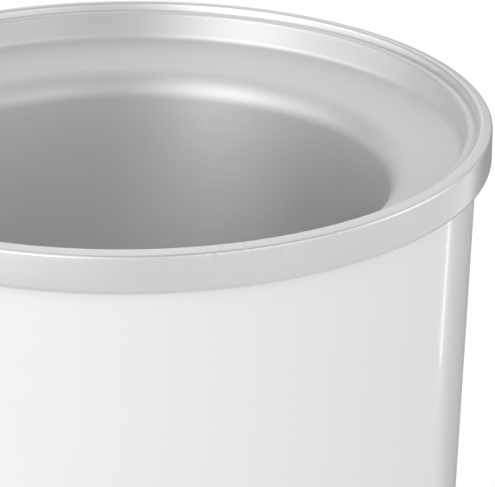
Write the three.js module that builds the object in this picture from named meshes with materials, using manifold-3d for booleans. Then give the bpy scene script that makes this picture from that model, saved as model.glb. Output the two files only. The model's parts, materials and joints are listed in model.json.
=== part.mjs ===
// An ice cream maker: a double-walled freezer bowl, open at the top, standing on a low motor base.
// A slow synchronous motor turns the bowl through two pairs of spur gears and a lugged drive hub.
// The bowl lifts straight off the hub. Units are millimetres. +Z is up, the switch faces -Y, and
// the origin is the centre of the plane that the four feet stand on.
import * as THREE from 'three';
import { mergeVertices } from 'three/addons/utils/BufferGeometryUtils.js';
import Module from 'manifold-3d';

const wasm = await Module();
wasm.setup();

// Fits and fineness
const GAP = 0.3;
const OVERCUT = 1;
const LARGE_SIDES = 36;
const MIDDLE_SIDES = 20;
const SMALL_SIDES = 10;
const ARC_STEP = Math.PI / 4;

// Freezer bowl
const rimRadius = 95;
const bowlHeight = 150;
const crownRise = 0.75;
const crestInset = 3.3;
const crownFall = 0.6;
const bandHeight = 11.05;
const bandThickness = 1;
const bandTopWidth = 4;
const bandRoll = 3.3;
const bandEdgeRounding = 0.9;
const stepInset = 6.7;
const stepDepth = 9.35;
const stepDraft = 1;
const stepFootRounding = 2;
const stepEdgeRounding = 1.1;
const linerThickness = 1.1;
const cavityInset = 26.2;
const cavityDraft = 0.03;
const cavityFloorHeight = 24;
const cavityCorner = 11;
const lipRadius = 8.2;
const shoulderFall = Math.tan(THREE.MathUtils.degToRad(16));
const shellInset = 3.5;
const shellDraft = 0.0331;
const shellThickness = 1.5;
const shellFootRounding = 2.6;
const shellFlangeReach = 1.9;
const shellLipWidth = 6;
const gasketThickness = 2.2;
const gelTopDepth = 27;
const capThickness = 2.4;
const capRise = 2.6;
const plugRadius = 5;
const plugHeadOverhang = 2;
const plugHeadThickness = 1.1;
const plugDistance = 52;

// Drive coupling between the bowl and the base
const hubFlangeRadius = 40;
const hubFlangeThickness = 2.4;
const hubFlangeRounding = 0.8;
const hubBossRadius = 14;
const hubBossHeight = 9;
const hubBossRounding = 1.5;
const hubCrown = 2;
const lugCount = 3;
const lugReach = 5;
const lugWidth = 6;
const lugDrop = 1;
const lugPlay = 0.6;
const socketWall = 2.2;
const socketHeadroom = 1;

// Base housing
const bowlClearance = 4;
const wellPlay = 3.965;
const wellDraft = 0.06;
const wellFootRounding = 1.5;
const wellMouthRounding = 2;
const collarWidth = 12;
const collarHeight = 16;
const collarRounding = 4;
const baseFlare = 3.5;
const baseFootRounding = 1.5;
const deckThickness = 2.5;
const housingWall = 3;
const shaftBossRadius = 12;
const bushRadius = 8.7;
const bushLength = 7.7;
const sealThickness = 1.6;
const sealLipWidth = 2;

// Bottom cover, its screws and the feet
const footHeight = 3.5;
const footRadius = 9;
const footTaper = 0.6;
const footRounding = 1;
const footStemRadius = 3;
const footBarb = 1;
const footBarbHeight = 2.5;
const footInset = 22;
const coverThickness = 3;
const coverScrewInset = 20;
const coverScrewAngle = 30;
const pillarRadius = 5;
const coverScrewLength = 14;
const ventCount = 7;
const ventLength = 34;
const ventWidth = 3;
const ventPitch = 8;

// Screws
const screwRadius = 1.8;
const screwHeadRadius = 3.6;
const screwHeadHeight = 2;
const screwHeadRounding = 1;
const screwTipRoom = 1;

// Gears
const outputModule = 1.25;
const motorModule = 1;
const wheelTeeth = 48;
const pinionTeeth = 12;
const toothAddendum = 0.9;
const toothDedendum = 1.25;
const toothTipShare = 0.1;
const toothRootShare = 0.27;
const gearWidth = 7;
const outputGearWidth = 9;
const levelGap = 1.5;
const idlerAngle = 180;
const motorAngle = 53;
const outputShaftRadius = 4;
const outputBossWall = 4;
const idlerPinRadius = 2.5;
const motorShaftRadius = 2;

// Gearbox
const plateThickness = 2.5;
const gearboxWall = 2.5;
const gearPlay = 1.5;
const shaftRoom = 2;
const lidHeadroom = 4.5;
const bushShoulder = 1;
const earRadius = 5;
const earWall = 1.8;
const outputEarAngle = 45;
const idlerEarAngle = 250;

// Motor
const motorFootroom = 5.8;
const motorRadius = 29;
const motorHeight = 31;
const motorSheet = 1;
const motorEdgeRounding = 2;
const motorPlateMargin = 1;
const motorPlateThickness = 2.4;
const motorBushRadius = 4;
const motorBushLength = 4;
const motorBushRoom = 1;
const coilThickness = 10;
const coilEndRoom = 3;
const rotorRadius = 15.5;
const rotorEndPlay = 1;
const motorEarReach = 5.5;
const motorEarAngle = 93;

// Switch
const switchDrop = 30;
const switchWidth = 13.4;
const switchLength = 21;
const switchDepth = 18;
const switchFlange = 2.3;
const switchFlangeThickness = 1.3;
const switchWall = 1.3;
const pocketDepth = 12;
const rockerTilt = 11;
const rockerPinRadius = 1.2;
const rockerEndPlay = 1;
const rockerEndReach = 4;
const rockerMiddleReach = 2.8;
const rockerHeelDepth = 3.2;
const rockerHeelHalf = 2.4;
const rockerInset = 1.1;
const padSink = 0.04;
const padMargin = 6;
const padDepth = 6;

// Mains lead entry
const glandHeight = 20;
const glandBore = 3.6;
const glandBarrelRadius = 6;
const glandFlangeRadius = 8;
const glandFlangeThickness = 1.2;
const glandSeatMargin = 1;
const glandSeatDepth = 6;
const glandTail = 3;
const glandCatch = 0.6;
const glandCatchLength = 1.6;
const terminalSize = [26, 12, 13];
const terminalInset = 30;
const terminalPoles = 3;
const terminalBore = 2.4;

// Levels from the feet up to the deck
const coverUnderside = footHeight + 2 * GAP;
const coverTop = coverUnderside + coverThickness;
const motorCanBottom = coverTop + motorFootroom;
const motorCanTop = motorCanBottom + motorHeight;
const motorPlateBottom = motorCanTop + GAP;
const motorPlateTop = motorPlateBottom + motorPlateThickness;
const caseBottom = motorPlateTop + GAP;
const caseFloorTop = caseBottom + plateThickness;
const wheelBottom = caseFloorTop + levelGap;
const wheelTop = wheelBottom + gearWidth;
const outputGearBottom = wheelTop + levelGap;
const outputGearTop = outputGearBottom + outputGearWidth;
const caseTop = outputGearTop + levelGap + GAP;
const lidUnderside = caseTop + GAP;
const gearboxTop = lidUnderside + plateThickness;
const deckUnderside = gearboxTop + lidHeadroom;
const deckTop = deckUnderside + deckThickness;
const collarTop = deckTop + collarHeight;
const switchHeight = deckTop - switchDrop;

// Levels of the drive coupling and the bowl
const bowlBottom = deckTop + bowlClearance;
const capUnderside = bowlBottom + capRise;
const capTop = capUnderside + capThickness;
const hubFlangeTop = capUnderside - GAP;
const hubFlangeUnderside = hubFlangeTop - hubFlangeThickness;
const hubTop = hubFlangeTop + hubBossHeight;
const hubBoreTop = hubTop - hubCrown;
const recessCeiling = hubTop + 2 * GAP + socketHeadroom;
const cavityFloor = bowlBottom + cavityFloorHeight;
const rimTop = bowlBottom + bowlHeight;
const bandCornerTop = rimTop - crownRise;
const bandUnderside = bandCornerTop - bandThickness;
const linerFlangeTop = bandUnderside - GAP;
const linerFlangeUnderside = linerFlangeTop - linerThickness;
const shellTop = linerFlangeUnderside - gasketThickness - 2 * GAP;

// Radii, from the rim in to the cavity and out to the base
const stepRadius = rimRadius - stepInset;
const cavityRadius = rimRadius - cavityInset;
const shellRadius = rimRadius - shellInset;
const flangeReach = rimRadius - bandThickness - 2 * GAP;
const lugRadius = hubBossRadius + lugReach;
const recessRadius = lugRadius + lugPlay + socketWall + GAP;
const wellRadius = shellRadiusAt(bowlBottom) + wellPlay;
const baseTopRadius = wellRadius + collarWidth;
const baseRadius = baseTopRadius + baseFlare;
const coverRadius = baseRadius - housingWall - 4 * GAP;
const padRadius = housingRadiusAt(switchHeight) - padSink;
const terminalDistance = baseRadius - terminalInset;
const rockerHalfLength = switchLength / 2 - switchWall - rockerEndPlay;

// Gear centres and the screw ears round them
const idlerDistance = outputModule * (wheelTeeth + pinionTeeth) / 2;
const motorDistance = motorModule * (wheelTeeth + pinionTeeth) / 2;
const idlerCentre = polar(idlerDistance, idlerAngle);
const motorCentre = polar(motorDistance, motorAngle, idlerCentre);
const earInset = gearPlay + screwRadius + GAP + earWall;
const outputEarDistance = tipRadius(wheelTeeth, outputModule) + earInset;
const idlerEarDistance = tipRadius(wheelTeeth, motorModule) + earInset;
const gearboxEars = [
  polar(outputEarDistance, outputEarAngle),
  polar(outputEarDistance, -outputEarAngle),
  polar(idlerEarDistance, idlerEarAngle, idlerCentre),
];

function polar(radius, degrees, [x, y] = [0, 0]) {
  const angle = THREE.MathUtils.degToRad(degrees);
  return [x + radius * Math.cos(angle), y + radius * Math.sin(angle)];
}

function tipRadius(teeth, module) {
  return module * (teeth / 2 + toothAddendum);
}

// Outer radius of the bowl's white wall at a height
function shellRadiusAt(z) {
  return shellRadius + shellDraft * (z - rimTop);
}

// Radius of the cavity wall at a height
function cavityRadiusAt(z) {
  const lipBottom = rimTop - stepDepth - (stepRadius - cavityRadius) * shoulderFall;
  return cavityRadius + cavityDraft * (z - lipBottom);
}

// Outer radius of the housing's wall at a height
function housingRadiusAt(z) {
  return baseRadius + (baseTopRadius - baseRadius) * (z - footHeight) / (collarTop - footHeight);
}

// Rounds the corners of an outline. A corner is [r, z] or [r, z, radius].
function rounded(corners, closed) {
  const points = [];
  corners.forEach(([x, y, radius], i) => {
    const corner = new THREE.Vector2(x, y);
    const isEnd = !closed && (i === 0 || i === corners.length - 1);
    if (!radius || isEnd) {
      points.push(corner);
      return;
    }
    const before = corners[(i + corners.length - 1) % corners.length];
    const after = corners[(i + 1) % corners.length];
    const back = new THREE.Vector2(before[0] - x, before[1] - y);
    const ahead = new THREE.Vector2(after[0] - x, after[1] - y);
    const half = Math.acos(back.clone().normalize().dot(ahead.clone().normalize())) / 2;
    const room = 0.49 * Math.min(back.length(), ahead.length());
    const reach = Math.min(radius / Math.tan(half), room);
    const r = reach * Math.tan(half);
    back.normalize();
    ahead.normalize();
    const middle = back.clone().add(ahead).normalize().multiplyScalar(r / Math.sin(half));
    const centre = corner.clone().add(middle);
    const start = corner.clone().addScaledVector(back, reach).sub(centre);
    const end = corner.clone().addScaledVector(ahead, reach).sub(centre);
    const turn = Math.atan2(start.cross(end), start.dot(end));
    const steps = Math.max(1, Math.round(Math.abs(turn) / ARC_STEP));
    for (let k = 0; k <= steps; k += 1) {
      const point = start.clone().rotateAround(new THREE.Vector2(0, 0), turn * k / steps);
      points.push(point.add(centre));
    }
  });
  return points;
}

// A solid of revolution about Z. An outline that touches the axis starts and ends on it.
function turned(corners, sides) {
  const onAxis = corners[0][0] === 0;
  const outline = rounded(corners, !onAxis);
  if (!onAxis) {
    outline.push(outline[0].clone());
  }
  const geometry = new THREE.LatheGeometry(outline, sides);
  geometry.rotateX(Math.PI / 2);
  return solid(geometry);
}

// An outline in XY pushed up from z0 to z1
function prism(points, z0, z1, holes = []) {
  const shape = new THREE.Shape(points);
  shape.holes = holes.map((hole) => new THREE.Path(hole));
  const geometry = new THREE.ExtrudeGeometry(shape, { depth: z1 - z0, bevelEnabled: false });
  geometry.translate(0, 0, z0);
  return solid(geometry);
}

function rod(radius, z0, z1, [x, y] = [0, 0], sides = SMALL_SIDES) {
  const geometry = new THREE.CylinderGeometry(radius, radius, z1 - z0, sides);
  geometry.rotateX(Math.PI / 2);
  geometry.translate(x, y, (z0 + z1) / 2);
  return solid(geometry);
}

function block([sizeX, sizeY, sizeZ], [x, y, z]) {
  const geometry = new THREE.BoxGeometry(sizeX, sizeY, sizeZ);
  geometry.translate(x, y, z);
  return solid(geometry);
}

function circle(radius, [x, y] = [0, 0], sides = SMALL_SIDES) {
  return Array.from({ length: sides }, (_, i) => {
    const angle = 2 * Math.PI * i / sides;
    return new THREE.Vector2(x + radius * Math.cos(angle), y + radius * Math.sin(angle));
  });
}

// The outline that a string pulled tight round several circles would take
function beltOutline(circles) {
  const points = circles.flatMap(([radius, centre]) => circle(radius, centre, MIDDLE_SIDES));
  points.sort((a, b) => a.x - b.x || a.y - b.y);
  const half = (list) => {
    const chain = [];
    for (const p of list) {
      while (chain.length > 1) {
        const [a, b] = chain.slice(-2);
        const bend = (b.x - a.x) * (p.y - a.y) - (b.y - a.y) * (p.x - a.x);
        if (bend > 1e-6) {
          break;
        }
        chain.pop();
      }
      chain.push(p);
    }
    return chain.slice(0, -1);
  };
  return [...half(points), ...half([...points].reverse())];
}

// Turns a closed three.js geometry into a solid that can be joined and cut
function solid(geometry) {
  geometry.deleteAttribute('normal');
  geometry.deleteAttribute('uv');
  const merged = mergeVertices(geometry, 1e-4);
  const index = merged.getIndex().array;
  const triangles = [];
  for (let i = 0; i < index.length; i += 3) {
    const [a, b, c] = index.slice(i, i + 3);
    if (a !== b && b !== c && c !== a) {
      triangles.push(a, b, c);
    }
  }
  const position = new Float32Array(merged.getAttribute('position').array);
  if (signedVolume(position, triangles) < 0) {
    triangles.reverse();
  }
  const triVerts = new Uint32Array(triangles);
  return new wasm.Manifold(new wasm.Mesh({ numProp: 3, vertProperties: position, triVerts }));
}

function signedVolume(position, triangles) {
  const corner = (i) => new THREE.Vector3().fromArray(position, 3 * i);
  let sum = 0;
  for (let i = 0; i < triangles.length; i += 3) {
    const [a, b, c] = triangles.slice(i, i + 3).map(corner);
    sum += a.dot(b.cross(c));
  }
  return sum / 6;
}

function cutAll(body, cuts) {
  return cuts.reduce((rest, cut) => rest.subtract(cut), body);
}

function piece(name, body, material) {
  const { vertProperties, triVerts } = body.getMesh();
  const geometry = new THREE.BufferGeometry();
  geometry.setAttribute('position', new THREE.BufferAttribute(vertProperties, 3));
  geometry.setIndex(new THREE.BufferAttribute(triVerts, 1));
  geometry.computeVertexNormals();
  const mesh = new THREE.Mesh(geometry, material);
  mesh.name = name;
  return mesh;
}

// The outline of a spur gear with straight-flanked teeth, thinned so that a pair never binds
function gearOutline(teeth, module, phase) {
  const tip = tipRadius(teeth, module);
  const root = module * (teeth / 2 - toothDedendum);
  const toothAngle = 2 * Math.PI / teeth;
  const tipHalf = toothTipShare * toothAngle;
  const rootHalf = toothRootShare * toothAngle;
  const points = [];
  for (let i = 0; i < teeth; i += 1) {
    const middle = phase + i * toothAngle;
    for (const [radius, offset] of [[root, -rootHalf], [tip, -tipHalf], [tip, tipHalf], [root, rootHalf]]) {
      points.push(new THREE.Vector2(
        radius * Math.cos(middle + offset),
        radius * Math.sin(middle + offset),
      ));
    }
  }
  return points;
}

// Phase that puts a tooth of one gear in the gap of its partner on the line between their centres
function gapPhase(teeth, degrees) {
  return THREE.MathUtils.degToRad(degrees) + Math.PI / teeth;
}

function moved(points, [x, y]) {
  return points.map((p) => new THREE.Vector2(p.x + x, p.y + y));
}

// ---- Freezer bowl ----

function bowlLiner() {
  const stepFoot = rimTop - stepDepth;
  const shoulderFoot = stepFoot - (stepRadius - cavityRadius) * shoulderFall;
  const lip = cavityRadiusAt(shoulderFoot);
  const wall = cavityRadiusAt(cavityFloor);
  const t = linerThickness;
  return turned([
    [0, cavityFloor],
    [wall, cavityFloor, cavityCorner],
    [lip, shoulderFoot, lipRadius],
    [stepRadius - stepDraft, stepFoot, stepFootRounding],
    [stepRadius, linerFlangeTop, stepEdgeRounding],
    [flangeReach, linerFlangeTop],
    [flangeReach, linerFlangeUnderside],
    [stepRadius + t, linerFlangeUnderside],
    [stepRadius + t - stepDraft, stepFoot - t],
    [lip + t, shoulderFoot - t, lipRadius],
    [wall + t, cavityFloor - t, cavityCorner + t],
    [0, cavityFloor - t],
  ], LARGE_SIDES);
}

function rimBand() {
  const t = bandThickness;
  const bottom = rimTop - bandHeight;
  const inner = rimRadius - bandTopWidth;
  const hem = shellRadiusAt(bottom) + 2 * GAP;
  return turned([
    [rimRadius, bottom, bandRoll],
    [rimRadius, bandCornerTop, bandEdgeRounding],
    [rimRadius - crestInset, rimTop],
    [inner, rimTop - crownFall],
    [inner, bandUnderside],
    [rimRadius - t, bandUnderside],
    [rimRadius - t, bottom + t, bandRoll - t],
    [hem, bottom + t],
    [hem, bottom],
  ], LARGE_SIDES);
}

function rimGasket() {
  const inner = stepRadius + linerThickness + 3 * GAP;
  return turned([
    [inner, shellTop + GAP],
    [flangeReach, shellTop + GAP],
    [flangeReach, linerFlangeUnderside - GAP],
    [inner, linerFlangeUnderside - GAP],
  ], LARGE_SIDES);
}

function bowlShell() {
  const t = shellThickness;
  const flangeUnderside = shellTop - t;
  const lipTop = capUnderside - GAP;
  const outerFoot = shellRadiusAt(bowlBottom);
  return turned([
    [outerFoot - shellLipWidth, bowlBottom],
    [outerFoot, bowlBottom, shellFootRounding],
    [shellRadiusAt(flangeUnderside), flangeUnderside],
    [shellRadiusAt(flangeUnderside) + shellFlangeReach, flangeUnderside],
    [shellRadiusAt(flangeUnderside) + shellFlangeReach, shellTop],
    [shellRadiusAt(shellTop) - t, shellTop],
    [shellRadiusAt(lipTop) - t, lipTop, shellFootRounding - t],
    [outerFoot - shellLipWidth, lipTop],
  ], LARGE_SIDES);
}

function coolantGel() {
  const slack = linerThickness + 2 * GAP;
  const floorUnderside = cavityFloor - slack;
  const gelTop = rimTop - gelTopDepth;
  const domeRadius = recessRadius + capThickness + 2 * GAP;
  const domeTop = recessCeiling + capThickness + 2 * GAP;
  const gelBottom = capTop + 2 * GAP;
  const shellSlack = shellThickness + 2 * GAP;
  return turned([
    [0, floorUnderside],
    [cavityRadiusAt(floorUnderside) + slack, floorUnderside, cavityCorner + slack],
    [cavityRadiusAt(gelTop) + slack, gelTop],
    [shellRadiusAt(gelTop) - shellSlack, gelTop],
    [shellRadiusAt(gelBottom) - shellSlack, gelBottom],
    [domeRadius, gelBottom],
    [domeRadius, domeTop],
    [0, domeTop],
  ], LARGE_SIDES);
}

function bowlBaseCap() {
  const t = capThickness;
  const outer = shellRadiusAt(capTop) - shellThickness - 2 * GAP;
  const cap = turned([
    [0, recessCeiling],
    [recessRadius, recessCeiling],
    [recessRadius, capUnderside],
    [outer, capUnderside],
    [outer, capTop],
    [recessRadius + t, capTop],
    [recessRadius + t, recessCeiling + t],
    [0, recessCeiling + t],
  ], LARGE_SIDES);
  const plugHole = rod(plugRadius + GAP, capUnderside - OVERCUT, capTop + OVERCUT, [0, plugDistance]);
  return cap.subtract(plugHole);
}

function fillerPlug() {
  const headTop = capUnderside - GAP;
  const headRadius = plugRadius + plugHeadOverhang;
  return turned([
    [0, headTop - plugHeadThickness],
    [headRadius, headTop - plugHeadThickness],
    [headRadius, headTop],
    [plugRadius, headTop],
    [plugRadius, capTop],
    [0, capTop],
  ], SMALL_SIDES).translate([0, plugDistance, 0]);
}

// A ring in the cap's recess, with one slot for each lug of the hub
function driveSocket() {
  const bottom = capUnderside + GAP;
  const top = recessCeiling - GAP;
  const ring = turned([
    [hubBossRadius + lugPlay, bottom],
    [recessRadius - GAP, bottom],
    [recessRadius - GAP, top],
    [hubBossRadius + lugPlay, top],
  ], MIDDLE_SIDES);
  return lugs(lugRadius + lugPlay, lugWidth + 2 * lugPlay, bottom - OVERCUT, top + OVERCUT)
    .reduce((body, lug) => body.subtract(lug), ring);
}

// Radial bars that start inside the hub's boss
function lugs(radius, width, z0, z1) {
  const root = hubBossRadius / 2;
  const length = radius - root;
  const middle = (radius + root) / 2;
  return Array.from({ length: lugCount }, (_, i) => {
    const lug = block([length, width, z1 - z0], [middle, 0, (z0 + z1) / 2]);
    return lug.rotate([0, 0, 90 + 360 * i / lugCount]);
  });
}

// ---- Drive ----

function driveHub() {
  const bore = outputShaftRadius + GAP;
  const body = turned([
    [0, hubBoreTop],
    [bore, hubBoreTop],
    [bore, hubFlangeUnderside],
    [hubFlangeRadius, hubFlangeUnderside, hubFlangeRounding],
    [hubFlangeRadius, hubFlangeTop, hubFlangeRounding],
    [hubBossRadius, hubFlangeTop],
    [hubBossRadius, hubTop, hubBossRounding],
    [0, hubTop],
  ], MIDDLE_SIDES);
  return lugs(lugRadius, lugWidth, hubFlangeTop - OVERCUT, hubTop - lugDrop)
    .reduce((joined, lug) => joined.add(lug), body);
}

function outputShaft() {
  return rod(outputShaftRadius, caseBottom + GAP, hubBoreTop - GAP);
}

function outputGear() {
  const teeth = prism(gearOutline(wheelTeeth, outputModule, 0), outputGearBottom, outputGearTop);
  const boss = rod(outputShaftRadius + outputBossWall, wheelBottom, outputGearBottom + OVERCUT);
  const bore = rod(outputShaftRadius + GAP, caseBottom, gearboxTop);
  return teeth.add(boss).subtract(bore);
}

// A large wheel driven by the motor and, above it, the small one that drives the output gear
function idlerGear() {
  const wheel = gearOutline(wheelTeeth, motorModule, gapPhase(wheelTeeth, motorAngle));
  const small = gearOutline(pinionTeeth, outputModule, gapPhase(pinionTeeth, idlerAngle + 180));
  const lower = prism(moved(wheel, idlerCentre), wheelBottom, wheelTop);
  const upper = prism(moved(small, idlerCentre), wheelTop - OVERCUT, outputGearTop);
  const bore = rod(idlerPinRadius + GAP, caseBottom, gearboxTop, idlerCentre);
  return lower.add(upper).subtract(bore);
}

function idlerPin() {
  return rod(idlerPinRadius, caseBottom + GAP, gearboxTop - GAP, idlerCentre);
}

function motorPinion() {
  const phase = THREE.MathUtils.degToRad(motorAngle + 180);
  const outline = moved(gearOutline(pinionTeeth, motorModule, phase), motorCentre);
  const teeth = prism(outline, wheelBottom, wheelTop);
  return teeth.subtract(rod(motorShaftRadius + GAP, caseBottom, gearboxTop, motorCentre));
}

function motorShaft() {
  return rod(motorShaftRadius, motorCanBottom + GAP, wheelTop, motorCentre);
}

function rotorMagnet() {
  const bottom = motorCanBottom + motorBushLength + rotorEndPlay;
  const top = motorCanTop - motorBushLength;
  return turned([
    [motorShaftRadius + GAP, bottom],
    [rotorRadius, bottom],
    [rotorRadius, top],
    [motorShaftRadius + GAP, top],
  ], MIDDLE_SIDES).translate([...motorCentre, 0]);
}

// ---- Motor ----

function motorCan() {
  const inner = motorRadius - motorSheet;
  const floorTop = motorCanBottom + motorSheet;
  return turned([
    [motorBushRadius + GAP, motorCanBottom],
    [motorRadius, motorCanBottom, motorEdgeRounding],
    [motorRadius, motorCanTop],
    [inner, motorCanTop],
    [inner, floorTop, motorEdgeRounding - motorSheet],
    [motorBushRadius + GAP, floorTop],
  ], MIDDLE_SIDES).translate([...motorCentre, 0]);
}

function statorCoil() {
  const outer = motorRadius - motorSheet - 2 * GAP;
  const bottom = motorCanBottom + motorSheet + coilEndRoom;
  const top = motorCanTop - coilEndRoom;
  return turned([
    [outer - coilThickness, bottom],
    [outer, bottom],
    [outer, top],
    [outer - coilThickness, top],
  ], MIDDLE_SIDES).translate([...motorCentre, 0]);
}

function motorBush(bottom) {
  return turned([
    [motorShaftRadius + GAP, bottom],
    [motorBushRadius, bottom],
    [motorBushRadius, bottom + motorBushLength],
    [motorShaftRadius + GAP, bottom + motorBushLength],
  ], SMALL_SIDES).translate([...motorCentre, 0]);
}

function motorEars() {
  return [motorEarAngle, motorEarAngle + 180]
    .map((angle) => polar(motorRadius + motorEarReach, angle, motorCentre));
}

function motorPlate() {
  const ears = motorEars().map((centre) => [earRadius, centre]);
  const outline = beltOutline([[motorRadius + motorPlateMargin, motorCentre], ...ears]);
  const plate = prism(outline, motorPlateBottom, motorPlateTop);
  const bottom = motorPlateBottom - OVERCUT;
  const top = motorPlateTop + OVERCUT;
  const cuts = motorEars().map((centre) => rod(screwRadius + GAP, bottom, top, centre));
  cuts.push(rod(motorBushRadius + GAP, bottom, top, motorCentre));
  return cutAll(plate, cuts);
}

// ---- Gearbox ----

function gearCircles(play) {
  return [
    [tipRadius(wheelTeeth, outputModule) + play, [0, 0]],
    [tipRadius(wheelTeeth, motorModule) + play, idlerCentre],
    [tipRadius(pinionTeeth, motorModule) + play, motorCentre],
  ];
}

function gearboxOutline() {
  const screwEars = [...gearboxEars, ...motorEars()].map((centre) => [earRadius, centre]);
  return beltOutline([...gearCircles(gearPlay + gearboxWall), ...screwEars]);
}

function gearboxCase() {
  const bottom = caseBottom - OVERCUT;
  const top = caseTop + OVERCUT;
  const tray = prism(gearboxOutline(), caseBottom, caseTop);
  return cutAll(tray, [
    prism(beltOutline(gearCircles(gearPlay)), caseFloorTop, top),
    rod(outputShaftRadius + GAP, bottom, top),
    rod(idlerPinRadius + GAP, bottom, top, idlerCentre),
    rod(motorBushRadius + motorBushRoom, bottom, top, motorCentre),
    ...gearboxEars.map((centre) => rod(screwRadius + GAP, bottom, top, centre)),
    ...motorEars().map((centre) => rod(screwRadius + GAP, bottom, caseFloorTop + OVERCUT, centre)),
  ]);
}

function gearboxLid() {
  const bottom = lidUnderside - OVERCUT;
  const top = gearboxTop + OVERCUT;
  const plate = prism(gearboxOutline(), lidUnderside, gearboxTop);
  return cutAll(plate, [
    rod(outputShaftRadius + shaftRoom, bottom, top),
    rod(idlerPinRadius + GAP, bottom, top, idlerCentre),
    ...gearboxEars.map((centre) => rod(screwRadius + GAP, bottom, top, centre)),
  ]);
}

function outputBush() {
  const bottom = gearboxTop + bushShoulder;
  return turned([
    [outputShaftRadius + GAP, bottom],
    [bushRadius, bottom],
    [bushRadius, bottom + bushLength],
    [outputShaftRadius + GAP, bottom + bushLength],
  ], MIDDLE_SIDES);
}

function shaftSeal() {
  const top = hubFlangeUnderside - GAP;
  return turned([
    [outputShaftRadius + GAP, top - sealThickness],
    [shaftBossRadius - GAP, top - sealThickness],
    [shaftBossRadius - sealLipWidth, top],
    [outputShaftRadius + GAP, top],
  ], MIDDLE_SIDES);
}

// A pan-head screw standing on its head, which starts at z0
function screw(z0, length, [x, y]) {
  return turned([
    [0, z0],
    [screwHeadRadius, z0, screwHeadRounding],
    [screwHeadRadius, z0 + screwHeadHeight],
    [screwRadius, z0 + screwHeadHeight],
    [screwRadius, z0 + screwHeadHeight + length - screwRadius],
    [0, z0 + screwHeadHeight + length],
  ], SMALL_SIDES).translate([x, y, 0]);
}

function gearboxScrew(centre) {
  const head = caseBottom - GAP - screwHeadHeight;
  return screw(head, deckUnderside - caseBottom, centre);
}

function motorScrew(centre) {
  const length = motorPlateThickness + plateThickness + 2 * GAP;
  return screw(motorPlateBottom - GAP - screwHeadHeight, length, centre);
}

// ---- Base ----

function coverScrewCentres() {
  const angles = [coverScrewAngle, 180 - coverScrewAngle, 180 + coverScrewAngle, -coverScrewAngle];
  return angles.map((angle) => polar(baseRadius - coverScrewInset, angle));
}

function footCentres() {
  return [45, 135, 225, 315].map((angle) => polar(baseRadius - footInset, angle));
}

function housingShell() {
  const wellMouth = wellRadius + wellDraft * (collarTop - deckTop);
  const innerFoot = baseRadius - housingWall;
  const collarUnderside = collarTop - housingWall;
  const bushBore = bushRadius + GAP;
  const bossBottom = gearboxTop + GAP;
  const bossTop = hubFlangeUnderside - sealThickness - 2 * GAP;
  return turned([
    [baseRadius, footHeight, baseFootRounding],
    [baseTopRadius, collarTop, collarRounding],
    [wellMouth, collarTop, wellMouthRounding],
    [wellRadius, deckTop, wellFootRounding],
    [shaftBossRadius, deckTop],
    [shaftBossRadius, bossTop],
    [bushBore, bossTop],
    [bushBore, bossBottom],
    [shaftBossRadius, bossBottom],
    [shaftBossRadius, deckUnderside],
    [wellRadius + housingWall, deckUnderside],
    [wellMouth + housingWall, collarUnderside],
    [baseTopRadius - housingWall, collarUnderside],
    [innerFoot, footHeight],
  ], LARGE_SIDES);
}

// A block behind (depth < 0) or in front of (depth > 0) the flat pad that the switch sits in
function padBlock(depth) {
  const width = switchWidth + 2 * switchFlange + 2 * padMargin;
  const height = switchLength + 2 * switchFlange + 2 * padMargin;
  return block([width, Math.abs(depth), height], [0, -(padRadius + depth / 2), switchHeight]);
}

function switchWindow() {
  const size = [switchWidth + 2 * GAP, 4 * housingWall, switchLength + 2 * GAP];
  return block(size, [0, -padRadius, switchHeight]);
}

// The flat that the gland's flange seats on, and the hole behind it
function glandSeat() {
  const size = 2 * (glandFlangeRadius + glandSeatMargin);
  const middle = glandFlat() + glandSeatDepth / 2;
  const flat = block([size, glandSeatDepth, size], [0, middle, glandHeight]);
  const hole = alongY(rod(glandBarrelRadius + GAP, baseRadius - 4 * housingWall, baseRadius + OVERCUT));
  return flat.add(hole.translate([0, 0, glandHeight]));
}

function glandFlat() {
  return housingRadiusAt(glandHeight) - glandFlangeThickness;
}

// Lays a solid that was made along Z down along +Y
function alongY(body) {
  return body.rotate([-90, 0, 0]);
}

function baseHousing() {
  const inDeck = deckUnderside + OVERCUT;
  const additions = [
    padBlock(-padDepth),
    ...coverScrewCentres().map((centre) => rod(pillarRadius, coverTop + GAP, inDeck, centre)),
    ...gearboxEars.map((centre) => rod(earRadius, gearboxTop + GAP, inDeck, centre)),
  ];
  const pilot = screwRadius + GAP;
  const pillarBottom = coverTop - OVERCUT;
  const pillarHoleTop = coverTop + coverScrewLength + screwTipRoom;
  const cuts = [
    padBlock(padDepth),
    switchWindow(),
    glandSeat(),
    ...coverScrewCentres().map((centre) => rod(pilot, pillarBottom, pillarHoleTop, centre)),
    ...gearboxEars.map((centre) => (
      rod(pilot, gearboxTop - OVERCUT, deckUnderside + screwTipRoom, centre)
    )),
  ];
  return cutAll(additions.reduce((body, extra) => body.add(extra), housingShell()), cuts);
}

function bottomCover() {
  const z0 = coverUnderside - OVERCUT;
  const z1 = coverTop + OVERCUT;
  const plate = turned([
    [0, coverUnderside],
    [coverRadius, coverUnderside],
    [coverRadius, coverTop],
    [0, coverTop],
  ], LARGE_SIDES);
  const vents = Array.from({ length: ventCount }, (_, i) => {
    const x = motorCentre[0] + (i - (ventCount - 1) / 2) * ventPitch;
    return block([ventWidth, ventLength, z1 - z0], [x, motorCentre[1], (z0 + z1) / 2]);
  });
  return cutAll(plate, [
    ...coverScrewCentres().map((centre) => rod(screwRadius + GAP, z0, z1, centre)),
    ...footCentres().map((centre) => rod(footStemRadius + GAP, z0, z1, centre)),
    ...vents,
  ]);
}

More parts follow.
